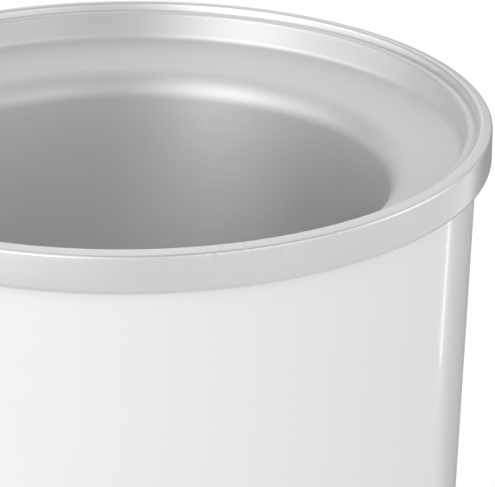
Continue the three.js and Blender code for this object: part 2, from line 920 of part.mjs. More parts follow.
function foot([x, y]) {
  const shoulder = coverUnderside - GAP;
  const barb = coverTop + GAP;
  return turned([
    [0, 0],
    [footRadius, 0, footRounding],
    [footRadius - footTaper, shoulder],
    [footStemRadius, shoulder],
    [footStemRadius, barb],
    [footStemRadius + footBarb, barb],
    [footStemRadius - footBarb, barb + footBarbHeight],
    [0, barb + footBarbHeight],
  ], SMALL_SIDES).translate([x, y, 0]);
}

// ---- Switch ----

function switchPivotY() {
  return -(padRadius + switchFlangeThickness - rockerEndReach - rockerInset);
}

function switchBody() {
  const front = -(padRadius + GAP + switchFlangeThickness);
  const flangeSize = [
    switchWidth + 2 * switchFlange,
    switchFlangeThickness,
    switchLength + 2 * switchFlange,
  ];
  const flange = block(flangeSize, [0, front + switchFlangeThickness / 2, switchHeight]);
  const barrel = block([switchWidth, switchDepth, switchLength], [0, front + switchDepth / 2, switchHeight]);
  const pocketSize = [switchWidth - 2 * switchWall, 2 * pocketDepth, switchLength - 2 * switchWall];
  const pocket = block(pocketSize, [0, front, switchHeight]);
  const pinHole = alongX(rod(rockerPinRadius + GAP, -switchWidth, switchWidth));
  return flange.add(barrel).subtract(pocket)
    .subtract(pinHole.translate([0, switchPivotY(), switchHeight]));
}

function alongX(body) {
  return body.rotate([0, 90, 0]);
}

// The rocker's side view is drawn with X forwards and Y up, then stood on its side
function switchRocker() {
  const width = switchWidth - 2 * switchWall - 2 * GAP;
  const outline = [
    [rockerEndReach, rockerHalfLength],
    [rockerMiddleReach, 0],
    [rockerEndReach, -rockerHalfLength],
    [0, -rockerHalfLength],
    [-rockerHeelDepth, -rockerHeelHalf],
    [-rockerHeelDepth, rockerHeelHalf],
    [0, rockerHalfLength],
  ].map(([x, y]) => new THREE.Vector2(x, y));
  const rocker = prism(outline, -width / 2, width / 2)
    .subtract(rod(rockerPinRadius + GAP, -width, width));
  return rocker.rotate([90, 0, -90])
    .rotate([rockerTilt, 0, 0])
    .translate([0, switchPivotY(), switchHeight]);
}

function rockerPin() {
  const half = switchWidth / 2;
  return alongX(rod(rockerPinRadius, -half, half)).translate([0, switchPivotY(), switchHeight]);
}

// ---- Mains lead entry ----

function cordGland() {
  const seat = glandFlat() + GAP;
  const tailEnd = glandFlat() - housingWall - glandTail;
  const catchRadius = glandBarrelRadius + glandCatch;
  return alongY(turned([
    [glandBore, tailEnd],
    [catchRadius, tailEnd],
    [catchRadius, tailEnd + glandCatchLength],
    [glandBarrelRadius, tailEnd + glandCatchLength],
    [glandBarrelRadius, seat],
    [glandFlangeRadius, seat],
    [glandFlangeRadius, seat + glandFlangeThickness - 2 * GAP],
    [glandBore, seat + glandFlangeThickness - 2 * GAP],
  ], SMALL_SIDES)).translate([0, 0, glandHeight]);
}

function terminalBlock() {
  const [length, , height] = terminalSize;
  const middle = coverTop + GAP + height / 2;
  const body = block(terminalSize, [0, terminalDistance, middle]);
  const bores = Array.from({ length: terminalPoles }, (_, i) => {
    const x = (i - (terminalPoles - 1) / 2) * length / terminalPoles;
    return rod(terminalBore, middle, middle + height, [x, terminalDistance]);
  });
  return cutAll(body, bores);
}

// ---- Materials ----

function finish(color, roughness, metalness) {
  return new THREE.MeshStandardMaterial({ color, roughness, metalness });
}

const satinAluminium = finish(0xc9cacb, 0.35, 1);
const linerAluminium = finish(0xb9babb, 0.42, 1);
const glossWhite = finish(0xf4f4f3, 0.12, 0);
const whitePlastic = finish(0xefefee, 0.3, 0);
const greyPlastic = finish(0xb8babc, 0.4, 0);
const blackRubber = finish(0x1c1c1d, 0.8, 0);
const greyRubber = finish(0x6d7073, 0.75, 0);
const steel = finish(0xa7aaad, 0.3, 1);
const zincSteel = finish(0x9a9fa3, 0.45, 1);
const bronze = finish(0xa3713c, 0.45, 1);
const acetal = finish(0xe7e5dc, 0.4, 0);
const copper = finish(0xb0663a, 0.4, 1);
const magnet = finish(0x3b3b3e, 0.6, 0);
const gel = finish(0x9cc4de, 0.3, 0);
const blackPlastic = finish(0x232425, 0.4, 0);

// ---- Assembly ----

const iceCreamMaker = new THREE.Group();

function add(name, body, material) {
  iceCreamMaker.add(piece(name, body, material));
}

add('bowl_liner', bowlLiner(), linerAluminium);
add('rim_band', rimBand(), satinAluminium);
add('rim_gasket', rimGasket(), greyRubber);
add('bowl_shell', bowlShell(), glossWhite);
add('coolant_gel', coolantGel(), gel);
add('bowl_base_cap', bowlBaseCap(), whitePlastic);
add('filler_plug', fillerPlug(), greyRubber);
add('drive_socket', driveSocket(), acetal);
add('drive_hub', driveHub(), greyPlastic);
add('output_shaft', outputShaft(), steel);
add('output_gear', outputGear(), acetal);
add('idler_gear', idlerGear(), acetal);
add('idler_pin', idlerPin(), steel);
add('motor_pinion', motorPinion(), bronze);
add('motor_shaft', motorShaft(), steel);
add('rotor_magnet', rotorMagnet(), magnet);
add('motor_can', motorCan(), zincSteel);
add('motor_plate', motorPlate(), zincSteel);
add('stator_coil', statorCoil(), copper);
add('motor_bush_lower', motorBush(motorCanBottom), bronze);
add('motor_bush_upper', motorBush(motorPlateTop - motorBushLength), bronze);
add('gearbox_case', gearboxCase(), greyPlastic);
add('gearbox_lid', gearboxLid(), greyPlastic);
add('output_bush', outputBush(), bronze);
add('shaft_seal', shaftSeal(), blackRubber);
add('base_housing', baseHousing(), glossWhite);
add('bottom_cover', bottomCover(), whitePlastic);
add('switch_body', switchBody(), blackPlastic);
add('switch_rocker', switchRocker(), blackPlastic);
add('rocker_pin', rockerPin(), steel);
add('cord_gland', cordGland(), greyRubber);
add('terminal_block', terminalBlock(), acetal);
footCentres().forEach((centre, i) => add(`foot_${i + 1}`, foot(centre), greyRubber));
coverScrewCentres().forEach(([x, y], i) => {
  const head = coverUnderside - GAP - screwHeadHeight;
  add(`cover_screw_${i + 1}`, screw(head, coverThickness + coverScrewLength, [x, y]), zincSteel);
});
gearboxEars.forEach((centre, i) => add(`gearbox_screw_${i + 1}`, gearboxScrew(centre), zincSteel));
motorEars().forEach((centre, i) => add(`motor_screw_${i + 1}`, motorScrew(centre), zincSteel));

export default iceCreamMaker;
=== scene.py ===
"""The looks of the ice cream maker: a freezer bowl with a rolled aluminium rim on a low motor base.

Everything is in metres, in the CAD frame: +Z up, the switch towards -Y, the feet on z = 0.
Lengths written with the factor MM are sizes in millimetres.
"""
import json
import math

import bmesh
import bpy
from mathutils import Matrix, Vector


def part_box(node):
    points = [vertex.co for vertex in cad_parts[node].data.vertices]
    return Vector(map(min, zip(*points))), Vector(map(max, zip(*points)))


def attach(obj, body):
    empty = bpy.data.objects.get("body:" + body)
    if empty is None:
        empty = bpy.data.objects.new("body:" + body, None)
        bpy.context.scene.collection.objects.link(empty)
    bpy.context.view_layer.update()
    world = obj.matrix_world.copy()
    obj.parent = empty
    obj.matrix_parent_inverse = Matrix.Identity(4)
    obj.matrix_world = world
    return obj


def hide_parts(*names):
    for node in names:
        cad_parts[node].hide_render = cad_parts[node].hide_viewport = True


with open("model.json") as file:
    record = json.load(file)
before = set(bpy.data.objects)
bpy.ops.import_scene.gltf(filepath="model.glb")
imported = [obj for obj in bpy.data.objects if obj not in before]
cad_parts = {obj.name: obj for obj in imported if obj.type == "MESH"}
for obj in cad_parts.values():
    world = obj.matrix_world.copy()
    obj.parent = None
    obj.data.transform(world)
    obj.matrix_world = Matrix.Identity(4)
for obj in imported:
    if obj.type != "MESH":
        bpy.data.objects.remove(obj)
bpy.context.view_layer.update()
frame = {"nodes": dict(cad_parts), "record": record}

MM = 0.001
GAP = 0.3 * MM      # clearance between neighbouring pieces
FINE = 256          # sides of a large round piece
MEDIUM = 96         # sides of a hand-sized round piece
SMALL = 48          # sides of a screw or pin
SLOT_STEPS = 10     # steps round each end of a slot
ARC_STEP = math.radians(9)
SHARP = math.radians(32)
FACET_SHARP = math.radians(38)
BEVEL_FROM = math.radians(40)

# Places read from the CAD model
band_low, band_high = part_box("rim_band")
liner_low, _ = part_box("bowl_liner")
shell_low, shell_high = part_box("bowl_shell")
cap_low, cap_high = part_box("bowl_base_cap")
housing_low, housing_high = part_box("base_housing")
cover_low, cover_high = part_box("bottom_cover")
hub_low, hub_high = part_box("drive_hub")
switch_low, switch_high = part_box("switch_body")
gland_low, gland_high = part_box("cord_gland")
RIM_TOP = band_high.z
RIM_RADIUS = band_high.y


def middle(node):
    low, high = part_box(node)
    return (low + high) / 2


# ---- Meshes ----

def rounded(corners, closed):
    """Points of an outline whose corners are (r, z) or (r, z, radius)."""
    points = []
    count = len(corners)
    for i, corner in enumerate(corners):
        here = Vector(corner[:2])
        radius = corner[2] if len(corner) > 2 else 0
        at_end = not closed and i in (0, count - 1)
        if not radius or at_end:
            points.append(here)
            continue
        back = Vector(corners[i - 1][:2]) - here
        ahead = Vector(corners[(i + 1) % count][:2]) - here
        half = back.angle(ahead) / 2
        reach = min(radius / math.tan(half), 0.49 * back.length, 0.49 * ahead.length)
        r = reach * math.tan(half)
        back.normalize()
        ahead.normalize()
        centre = here + (back + ahead).normalized() * (r / math.sin(half))
        start = here + back * reach - centre
        end = here + ahead * reach - centre
        turn = math.atan2(start.cross(end), start.dot(end))
        steps = max(2, round(abs(turn) / ARC_STEP))
        for k in range(steps + 1):
            points.append(centre + Matrix.Rotation(turn * k / steps, 2) @ start)
    return points


def finish_mesh(name, bm):
    """Makes an object of a bmesh, smooth except over sharp edges."""
    bmesh.ops.remove_doubles(bm, verts=bm.verts, dist=1e-7)
    bmesh.ops.dissolve_degenerate(bm, dist=1e-8, edges=bm.edges)
    bmesh.ops.recalc_face_normals(bm, faces=bm.faces)
    mesh = bpy.data.meshes.new(name)
    bm.to_mesh(mesh)
    bm.free()
    smooth_by_angle(mesh, SHARP)
    obj = bpy.data.objects.new(name, mesh)
    bpy.context.scene.collection.objects.link(obj)
    return obj


def smooth_by_angle(mesh, sharp):
    """Smooth shading, with the edges that turn by more than an angle kept sharp."""
    mesh.shade_smooth()
    bm = bmesh.new()
    bm.from_mesh(mesh)
    flags = [
        len(edge.link_faces) == 2 and edge.calc_face_angle() > sharp
        for edge in bm.edges
    ]
    bm.free()
    attribute = mesh.attributes.get("sharp_edge")
    if attribute is None:
        attribute = mesh.attributes.new("sharp_edge", "BOOLEAN", "EDGE")
    attribute.data.foreach_set("value", flags)


def lathe(name, corners, sides, shift=None):
    """A solid of revolution about Z. shift(point, angle) may move a point after it is turned."""
    on_axis = corners[0][0] == 0
    outline = rounded(corners, not on_axis)
    bm = bmesh.new()
    rings = []
    for r, z in outline:
        if r < 1e-9:
            rings.append([bm.verts.new((0, 0, z))] * sides)
            continue
        ring = []
        for i in range(sides):
            angle = 2 * math.pi * i / sides
            point = Vector((r * math.cos(angle), r * math.sin(angle), z))
            if shift:
                point += shift(point, angle)
            ring.append(bm.verts.new(point))
        rings.append(ring)
    pairs = list(zip(rings, rings[1:] + rings[:1]))
    if on_axis:
        pairs = pairs[:-1]
    for low, high in pairs:
        for i in range(sides):
            j = (i + 1) % sides
            corner_verts = []
            for vert in (low[i], low[j], high[j], high[i]):
                if vert not in corner_verts:
                    corner_verts.append(vert)
            if len(corner_verts) > 2:
                bm.faces.new(corner_verts)
    return finish_mesh(name, bm)


def box(name, low, high, bevel=0, segments=3):
    """A block between two corners, with rounded edges."""
    bm = bmesh.new()
    bmesh.ops.create_cube(bm, size=1)
    low, high = Vector(low), Vector(high)
    for vert in bm.verts:
        vert.co = Vector([
            low[k] + (high[k] - low[k]) * (vert.co[k] + 0.5) for k in range(3)
        ])
    if bevel:
        bmesh.ops.bevel(
            bm, geom=bm.edges, offset=bevel, offset_type="OFFSET",
            segments=segments, profile=0.5, affect="EDGES",
        )
    return finish_mesh(name, bm)


def cylinder(name, radius, z0, z1, x=0.0, y=0.0):
    bm = bmesh.new()
    bmesh.ops.create_cone(
        bm, cap_ends=True, segments=SMALL, radius1=radius, radius2=radius,
        depth=z1 - z0, matrix=Matrix.Translation((x, y, (z0 + z1) / 2)),
    )
    return finish_mesh(name, bm)


def prism(name, outline, z0, z1):
    """An outline in XY pushed up from z0 to z1."""
    bm = bmesh.new()
    bottom = [bm.verts.new((x, y, z0)) for x, y in outline]
    top = [bm.verts.new((x, y, z1)) for x, y in outline]
    bm.faces.new(bottom[::-1])
    bm.faces.new(top)
    for i, vert in enumerate(bottom):
        j = (i + 1) % len(bottom)
        bm.faces.new((vert, bottom[j], top[j], top[i]))
    return finish_mesh(name, bm)


def slot_outline(x, y, width, length):
    """A slot along Y with round ends."""
    half = (length - width) / 2
    radius = width / 2
    points = []
    for end, start in ((1, 0), (-1, math.pi)):
        for k in range(SLOT_STEPS + 1):
            angle = start + math.pi * k / SLOT_STEPS
            points.append((x + radius * math.cos(angle), y + end * half + radius * math.sin(angle)))
    return points


def moved(obj, matrix):
    obj.data.transform(matrix)
    return obj


def shifted(obj, x, y, z=0.0):
    return moved(obj, Matrix.Translation((x, y, z)))


def combine(obj, others, operation):
    """Joins other objects to obj, or cuts them from it, and removes them."""
    collection = bpy.data.collections.new("tools")
    bpy.context.scene.collection.children.link(collection)
    for other in others:
        for owner in list(other.users_collection):
            owner.objects.unlink(other)
        collection.objects.link(other)
    modifier = obj.modifiers.new("combine", "BOOLEAN")
    modifier.operation = operation
    modifier.operand_type = "COLLECTION"
    modifier.collection = collection
    modifier.solver = "EXACT"
    modifier.use_self = operation == "UNION"
    apply_modifiers(obj)
    for other in others:
        bpy.data.objects.remove(other, do_unlink=True)
    bpy.data.collections.remove(collection)
    smooth_by_angle(obj.data, SHARP)
    return obj


def apply_modifiers(obj):
    depsgraph = bpy.context.evaluated_depsgraph_get()
    mesh = bpy.data.meshes.new_from_object(obj.evaluated_get(depsgraph))
    old = obj.data
    obj.modifiers.clear()
    obj.data = mesh
    mesh.name = obj.name
    bpy.data.meshes.remove(old)


def bevel_edges(obj, width):
    modifier = obj.modifiers.new("bevel", "BEVEL")
    modifier.width = width
    modifier.segments = 3
    modifier.limit_method = "ANGLE"
    modifier.angle_limit = BEVEL_FROM
    modifier.harden_normals = False
    modifier.use_clamp_overlap = True
    apply_modifiers(obj)
    smooth_by_angle(obj.data, SHARP)
    return obj


# ---- Materials ----

RISE_SHARE = 0.83           # how fast turning lines change up a wall, against across a flat
LINE_DEPTH = 0.02 * MM      # bump heights
RIPPLE_DEPTH = 0.2 * MM
GRAIN_DEPTH = 0.03 * MM
WIRE_PITCH = 0.6 * MM
WIRE_DEPTH = 0.15 * MM


def shades(color, dark, light):
    """A darker and a lighter version of a colour."""
    return [c * dark for c in color], [min(1, c * light) for c in color]


class Nodes:
    """A new node material and short calls for adding nodes to it."""

    def __init__(self, name, color, roughness, metallic=0.0, **inputs):
        self.material = bpy.data.materials.new(name)
        self.material.use_nodes = True
        self.tree = self.material.node_tree
        self.shader = self.tree.nodes["Principled BSDF"]
        self.shader.inputs["Base Color"].default_value = (*color, 1)
        self.shader.inputs["Roughness"].default_value = roughness
        self.shader.inputs["Metallic"].default_value = metallic
        for key, value in inputs.items():
            self.shader.inputs[key.replace("_", " ")].default_value = value
        self.coordinate = self.add("ShaderNodeTexCoord")

    def add(self, kind, **settings):
        node = self.tree.nodes.new(kind)
        for key, value in settings.items():
            setattr(node, key, value)
        return node

    def link(self, source, target):
        self.tree.links.new(source, target)

    def math(self, operation, a, b=0.0):
        node = self.add("ShaderNodeMath", operation=operation)
        for socket, value in zip(node.inputs, (a, b)):
            if isinstance(value, bpy.types.NodeSocket):
                self.link(value, socket)
            else:
                socket.default_value = value
        return node.outputs[0]

    def noise(self, vector, scale, detail=3.0, roughness=0.5):
        node = self.add("ShaderNodeTexNoise")
        node.inputs["Scale"].default_value = scale
        node.inputs["Detail"].default_value = detail
        node.inputs["Roughness"].default_value = roughness
        self.link(vector, node.inputs["Vector"])
        return node.outputs["Fac"]

    def spread(self, value, low, high, from_low=0.3, from_high=0.7):
        node = self.add("ShaderNodeMapRange")
        self.link(value, node.inputs["Value"])
        node.inputs["From Min"].default_value = from_low
        node.inputs["From Max"].default_value = from_high
        node.inputs["To Min"].default_value = low
        node.inputs["To Max"].default_value = high
        return node.outputs["Result"]

    def tint(self, factor, dark, light):
        node = self.add("ShaderNodeMix", data_type="RGBA")
        self.link(factor, node.inputs["Factor"])
        colors = [s for s in node.inputs if s.type == "RGBA"]
        colors[0].default_value = (*dark, 1)
        colors[1].default_value = (*light, 1)
        result = [s for s in node.outputs if s.type == "RGBA"][0]
        self.link(result, self.shader.inputs["Base Color"])

    def bump(self, height, strength, distance):
        node = self.add("ShaderNodeBump")
        node.inputs["Strength"].default_value = strength
        node.inputs["Distance"].default_value = distance
        self.link(height, node.inputs["Height"])
        self.link(node.outputs["Normal"], self.shader.inputs["Normal"])
        return node

    def turned_vector(self, around, along):
        """A vector that changes slowly round the axis and fast along the profile."""
        split = self.add("ShaderNodeSeparateXYZ")
        self.link(self.coordinate.outputs["Object"], split.inputs[0])
        x, y, z = split.outputs
        squares = self.math("ADD", self.math("MULTIPLY", x, x), self.math("MULTIPLY", y, y))
        radius = self.math("SQRT", squares)
        safe = self.math("MAXIMUM", radius, 1e-4)
        join = self.add("ShaderNodeCombineXYZ")
        self.link(self.math("MULTIPLY", self.math("DIVIDE", x, safe), around), join.inputs[0])
        self.link(self.math("MULTIPLY", self.math("DIVIDE", y, safe), around), join.inputs[1])
        outwards = self.math("MULTIPLY", radius, along)
        upwards = self.math("MULTIPLY", z, RISE_SHARE * along)
        self.link(self.math("ADD", outwards, upwards), join.inputs[2])
        return join.outputs[0]


def spun_aluminium(name, color, roughness, metallic, brushing, stretch):
    """Satin aluminium: fine turning lines round the axis stretch its highlights across them."""
    m = Nodes(name, color, roughness, metallic, Anisotropic=stretch, Anisotropic_Rotation=0.25)
    around = m.add("ShaderNodeTangent", direction_type="RADIAL", axis="Z")
    m.link(around.outputs["Tangent"], m.shader.inputs["Tangent"])
    hair = m.noise(m.turned_vector(3.0, 4200), 1.0, 2.0)
    bands = m.noise(m.turned_vector(1.2, 650), 1.0, 3.0)
    clouds = m.noise(m.coordinate.outputs["Object"], 38, 3.0)
    lines = m.math("ADD", m.math("MULTIPLY", hair, 0.5), m.math("MULTIPLY", bands, 0.5))
    both = m.math("ADD", m.math("MULTIPLY", lines, 0.6), m.math("MULTIPLY", clouds, 0.4))
    m.link(m.spread(both, roughness * 0.92, roughness * 1.08), m.shader.inputs["Roughness"])
    m.tint(m.spread(both, 0, 1), *shades(color, 0.97, 1.02))
    m.bump(lines, brushing, LINE_DEPTH)
    return m.material


def gloss_plastic(name, color):
    """Glossy moulded plastic: a faint long ripple and a little variation in the gloss."""
    m = Nodes(name, color, 0.2, 0.0, Coat_Weight=0.35, Coat_Roughness=0.06, IOR=1.45)
    ripple = m.noise(m.coordinate.outputs["Object"], 16, 2.0)
    m.link(m.spread(ripple, 0.17, 0.24), m.shader.inputs["Roughness"])
    m.tint(m.spread(ripple, 0, 1), *shades(color, 0.992, 1))
    m.bump(ripple, 0.08, RIPPLE_DEPTH)
    return m.material


def grained(name, color, roughness, grain=900, strength=0.25, metallic=0.0):
    """Moulded plastic, rubber or plain metal with a fine grain."""
    m = Nodes(name, color, roughness, metallic)
    fine = m.noise(m.coordinate.outputs["Object"], grain, 2.0)
    clouds = m.noise(m.coordinate.outputs["Object"], 45, 3.0)
    gloss = m.spread(clouds, roughness * 0.88, min(1, roughness * 1.12))
    m.link(gloss, m.shader.inputs["Roughness"])
    m.tint(m.spread(clouds, 0, 1), *shades(color, 0.93, 1.04))
    m.bump(fine, strength, GRAIN_DEPTH)
    return m.material


def wound_wire(name, color):
    """Enamelled wire wound round the motor's axis, with painted shade that darkens the grooves
    between the turns.
    """
    m = Nodes(name, color, 0.35, 0.9)
    split = m.add("ShaderNodeSeparateXYZ")
    m.link(m.coordinate.outputs["Object"], split.inputs[0])
    turns = m.math("SINE", m.math("MULTIPLY", split.outputs["Z"], 2 * math.pi / WIRE_PITCH))
    # painted shade: the colour darkens to 0.55 of itself in the grooves between the turns
    m.tint(m.spread(turns, 0, 1, -1, 1), *shades(color, 0.55, 1))
    m.bump(turns, 0.6, WIRE_DEPTH)
    return m.material


def clear_gel(name, color):
    m = Nodes(name, color, 0.15, 0.0, Transmission_Weight=0.7, IOR=1.34)
    clouds = m.noise(m.coordinate.outputs["Object"], 25, 3.0)
    m.tint(m.spread(clouds, 0, 1), *shades(color, 0.85, 1))
    return m.material


rim_metal = spun_aluminium("rim_aluminium", (0.84, 0.84, 0.84), 0.33, 0.95, 0.15, 0.6)
liner_metal = spun_aluminium("liner_aluminium", (0.80, 0.80, 0.803), 0.43, 0.88, 0.10, 0.75)
white_gloss = gloss_plastic("gloss_white", (0.90, 0.90, 0.90))
white_plastic = grained("white_plastic", (0.80, 0.80, 0.79), 0.45)
grey_plastic = grained("grey_plastic", (0.42, 0.43, 0.44), 0.42)
black_plastic = grained("black_plastic", (0.018, 0.018, 0.019), 0.38, strength=0.15)
acetal = grained("acetal", (0.76, 0.74, 0.67), 0.35, strength=0.08)
grey_rubber = grained("grey_rubber", (0.13, 0.135, 0.14), 0.75, 700, 0.4)
black_rubber = grained("black_rubber", (0.012, 0.012, 0.012), 0.7, 700, 0.4)
steel = grained("steel", (0.60, 0.60, 0.61), 0.25, 1500, 0.05, 1.0)
zinc_steel = grained("zinc_steel", (0.56, 0.57, 0.58), 0.38, 1200, 0.1, 1.0)
bronze = grained("bronze", (0.52, 0.30, 0.13), 0.42, 1600, 0.3, 1.0)
magnet = grained("magnet", (0.035, 0.035, 0.038), 0.6, 800, 0.3)
copper = wound_wire("copper", (0.62, 0.26, 0.12))
gel = clear_gel("coolant_gel", (0.50, 0.72, 0.86))

MATERIALS = {
    "rim_aluminium": rim_metal, "liner_aluminium": liner_metal, "gloss_white": white_gloss,
    "white_plastic": white_plastic, "grey_plastic": grey_plastic, "black_plastic": black_plastic,
    "acetal": acetal, "grey_rubber": grey_rubber, "black_rubber": black_rubber, "steel": steel,
    "zinc_steel": zinc_steel, "bronze": bronze, "magnet": magnet, "copper": copper,
    "coolant_gel": gel,
}
SLOT_OF = {s["node"]: s["material_slot"] for s in frame["record"]["subparts"]}
BODY_OF = {
    node: body
    for body, nodes in frame["record"]["behaviour"]["bodies"].items() for node in nodes
}


def place(obj, node):
    """Gives a finished piece its material, body and slot, and hides the CAD node it stands for."""
    slot = SLOT_OF[node]
    obj.data.materials.clear()
    obj.data.materials.append(MATERIALS[slot])
    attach(obj, BODY_OF[node])
    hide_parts(node)


def dress(node):
    """A CAD node that stays: its material, and smooth shading over its small facets."""
    obj = frame["nodes"][node]
    obj.data.materials.clear()
    obj.data.materials.append(MATERIALS[SLOT_OF[node]])
    smooth_by_angle(obj.data, FACET_SHARP)


# ---- Freezer bowl ----

BAND_SHEET = 1.0 * MM
BAND_CORNER = RIM_TOP - 0.75 * MM       # top of the band's outer corner, below its domed crest
BAND_SIDES = 1080
BAND_LIP_SINK = 0.05 * MM               # how deep the band's inner lip presses into the groove
CRIMP_MIDDLE = -71                      # degrees round the rim
CRIMP_SPREAD = 11
CRIMP_WAVES = 190                       # waves in a full turn
CRIMP_SECOND = 1.37                     # a second set of waves, to the first one's number and depth
CRIMP_SECOND_DEPTH = 0.6
CRIMP_DEPTH = 0.08 * MM
CRIMP_REACH = 2.2 * MM
CREST_RADIUS = RIM_RADIUS - 3.55 * MM
CREST_MEETING = RIM_TOP + 0.36 * MM     # where the crest's two slopes meet before rounding
BAND_INNER = RIM_RADIUS - 4.0 * MM
STEP_RADIUS = RIM_RADIUS - 6.7 * MM
STEP_DEPTH = 9.35 * MM
RIDGE_TOP = RIM_TOP - 2.0 * MM
GROOVE = RIM_TOP - 2.6 * MM
LINER_SHEET = 1.1 * MM
CAVITY_RADIUS = RIM_RADIUS - 26.2 * MM
SHOULDER_ANGLE = math.radians(16)
LIP_RADIUS = 8.2 * MM
CAVITY_CORNER = 11 * MM
CAVITY_DRAFT = 0.03
SHELL_INSET = 3.5 * MM
SHELL_DRAFT = 0.0331
SHELL_WALL = 1.5 * MM
SHELL_FLANGE = 1.9 * MM
SHELL_FOOT_LIP = 6 * MM
CAP_WALL = 2.4 * MM


def shell_radius(z):
    return RIM_RADIUS - SHELL_INSET + SHELL_DRAFT * (z - RIM_TOP)


def crimped(point, angle):
    """The slight wrinkles that rolling left in the corner, over a short stretch at the front."""
    degrees = math.degrees(angle) - 360
    stretch = math.exp(-((degrees - CRIMP_MIDDLE) / CRIMP_SPREAD) ** 2)
    corner = Vector((RIM_RADIUS * math.cos(angle), RIM_RADIUS * math.sin(angle), BAND_CORNER))
    near = (point - corner).length / CRIMP_REACH
    turn = CRIMP_WAVES * angle
    waves = math.sin(turn) + CRIMP_SECOND_DEPTH * math.sin(CRIMP_SECOND * turn)
    depth = CRIMP_DEPTH * waves * stretch * math.exp(-near ** 2)
    return Vector((math.cos(angle), math.sin(angle), 1)) * depth


def rim_band():
    """A rolled band: a domed top, a rounded outer corner, and a hem turned in against the shell."""
    bottom = band_low.z
    hem = shell_radius(bottom) + 0.25 * MM
    t = BAND_SHEET
    lip = GROOVE - BAND_LIP_SINK
    return lathe("rim_band_rolled", [
        (RIM_RADIUS, bottom, 3.3 * MM),
        (RIM_RADIUS, BAND_CORNER, 0.9 * MM),
        (CREST_RADIUS, CREST_MEETING, 1.1 * MM),
        (BAND_INNER, lip),
        (BAND_INNER + t, lip),
        (BAND_INNER + t, BAND_CORNER - t),
        (RIM_RADIUS - t, BAND_CORNER - t),
        (RIM_RADIUS - t, bottom + t, 2.3 * MM),
        (hem, bottom + t, 0.4 * MM),
        (hem, bottom, 0.4 * MM),
    ], BAND_SIDES, crimped)


def bowl_liner():
    step_foot = RIM_TOP - STEP_DEPTH
    fall = math.tan(SHOULDER_ANGLE)
    shoulder_foot = step_foot - (STEP_RADIUS - CAVITY_RADIUS) * fall
    floor = liner_low.z + LINER_SHEET
    wall = CAVITY_RADIUS + CAVITY_DRAFT * (floor - shoulder_foot)
    t = LINER_SHEET
    reach = RIM_RADIUS - BAND_SHEET - 2 * GAP
    return lathe("bowl_liner_spun", [
        (0, floor),
        (wall, floor, CAVITY_CORNER),
        (CAVITY_RADIUS, shoulder_foot, LIP_RADIUS),
        (STEP_RADIUS - 1 * MM, step_foot, 2 * MM),
        (STEP_RADIUS, RIDGE_TOP - 0.1 * MM, 1.1 * MM),
        (STEP_RADIUS + 1.7 * MM, RIDGE_TOP + 0.05 * MM, 1.5 * MM),
        (BAND_INNER, GROOVE, 0.8 * MM),
        (reach, GROOVE),
        (reach, GROOVE - t),
        (STEP_RADIUS + t, GROOVE - t),
        (STEP_RADIUS + t - 1 * MM, step_foot - t),
        (CAVITY_RADIUS + t, shoulder_foot - t, LIP_RADIUS),
        (wall + t, floor - t, CAVITY_CORNER + t),
        (0, floor - t),
    ], FINE)


def bowl_shell():
    t = SHELL_WALL
    flange = shell_high.z - t
    flange_radius = shell_radius(flange) + SHELL_FLANGE
    lip_top = cap_low.z - GAP
    foot = shell_radius(shell_low.z)
    inner = foot - SHELL_FOOT_LIP
    return lathe("bowl_shell_gloss", [
        (inner, shell_low.z, 0.4 * MM),
        (foot, shell_low.z, 2.6 * MM),
        (shell_radius(flange), flange),
        (flange_radius, flange),
        (flange_radius, shell_high.z),
        (shell_radius(shell_high.z) - t, shell_high.z),
        (shell_radius(lip_top) - t, lip_top, 1 * MM),
        (inner, lip_top, 0.4 * MM),
    ], FINE)


def bowl_base_cap():
    t = CAP_WALL
    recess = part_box("drive_socket")[1].y + GAP
    ceiling = cap_high.z - t
    outer = cap_high.y
    return lathe("bowl_base_cap_moulded", [
        (0, ceiling),
        (recess, ceiling, 1.0 * MM),
        (recess, cap_low.z, 0.8 * MM),
        (outer, cap_low.z),
        (outer, cap_low.z + t),
        (recess + t, cap_low.z + t, 1.0 * MM),
        (recess + t, cap_high.z, 1.5 * MM),
        (0, cap_high.z),
    ], FINE)


def filler_plug():
    low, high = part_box("filler_plug")
    centre_y = (low.y + high.y) / 2
    head = (high.y - low.y) / 2
    return shifted(lathe("filler_plug_moulded", [
        (0, low.z + 0.5 * MM),
        (1.4 * MM, low.z + 0.5 * MM, 0.2 * MM),
        (1.7 * MM, low.z, 0.2 * MM),
        (head, low.z, 0.5 * MM),
        (head, low.z + 1.1 * MM, 0.2 * MM),
        (head - 2 * MM, low.z + 1.1 * MM),
        (head - 2 * MM, high.z, 0.3 * MM),
        (0, high.z),
    ], SMALL), 0, centre_y)


# ---- Base ----

HOUSING_WALL = 3 * MM
DECK_THICKNESS = 2.5 * MM
DECK_TOP = shell_low.z - 4 * MM
BASE_RADIUS = housing_high.x
BASE_TOP_RADIUS = 102.5 * MM
WELL_RADIUS = 90.5 * MM
WELL_DRAFT = 0.06
SHAFT_BOSS = 12 * MM
BUSH_SEAT = 0.7 * MM
PAD_RADIUS = 104.2 * MM         # how far the switch's flat pad is from the axis
PAD_MARGIN = 6 * MM
PAD_DEPTH = 6 * MM
WINDOW_HALF = (7.0 * MM, 10 * MM, 10.8 * MM)    # half its width, depth and height
PILLAR_RADIUS = 5 * MM
PILLAR_DROP = 1.5 * MM          # how far under the deck's top a pillar ends
SWITCH_HEIGHT = 50 * MM
GLAND_HEIGHT = middle("cord_gland").z
GLAND_FLAT = gland_high.y - 0.9 * MM
GLAND_SEAT_HALF = 9 * MM
GLAND_SEAT_DEPTH = 8 * MM
GLAND_HOLE = 6.3 * MM
HOLE_REACH = 20 * MM


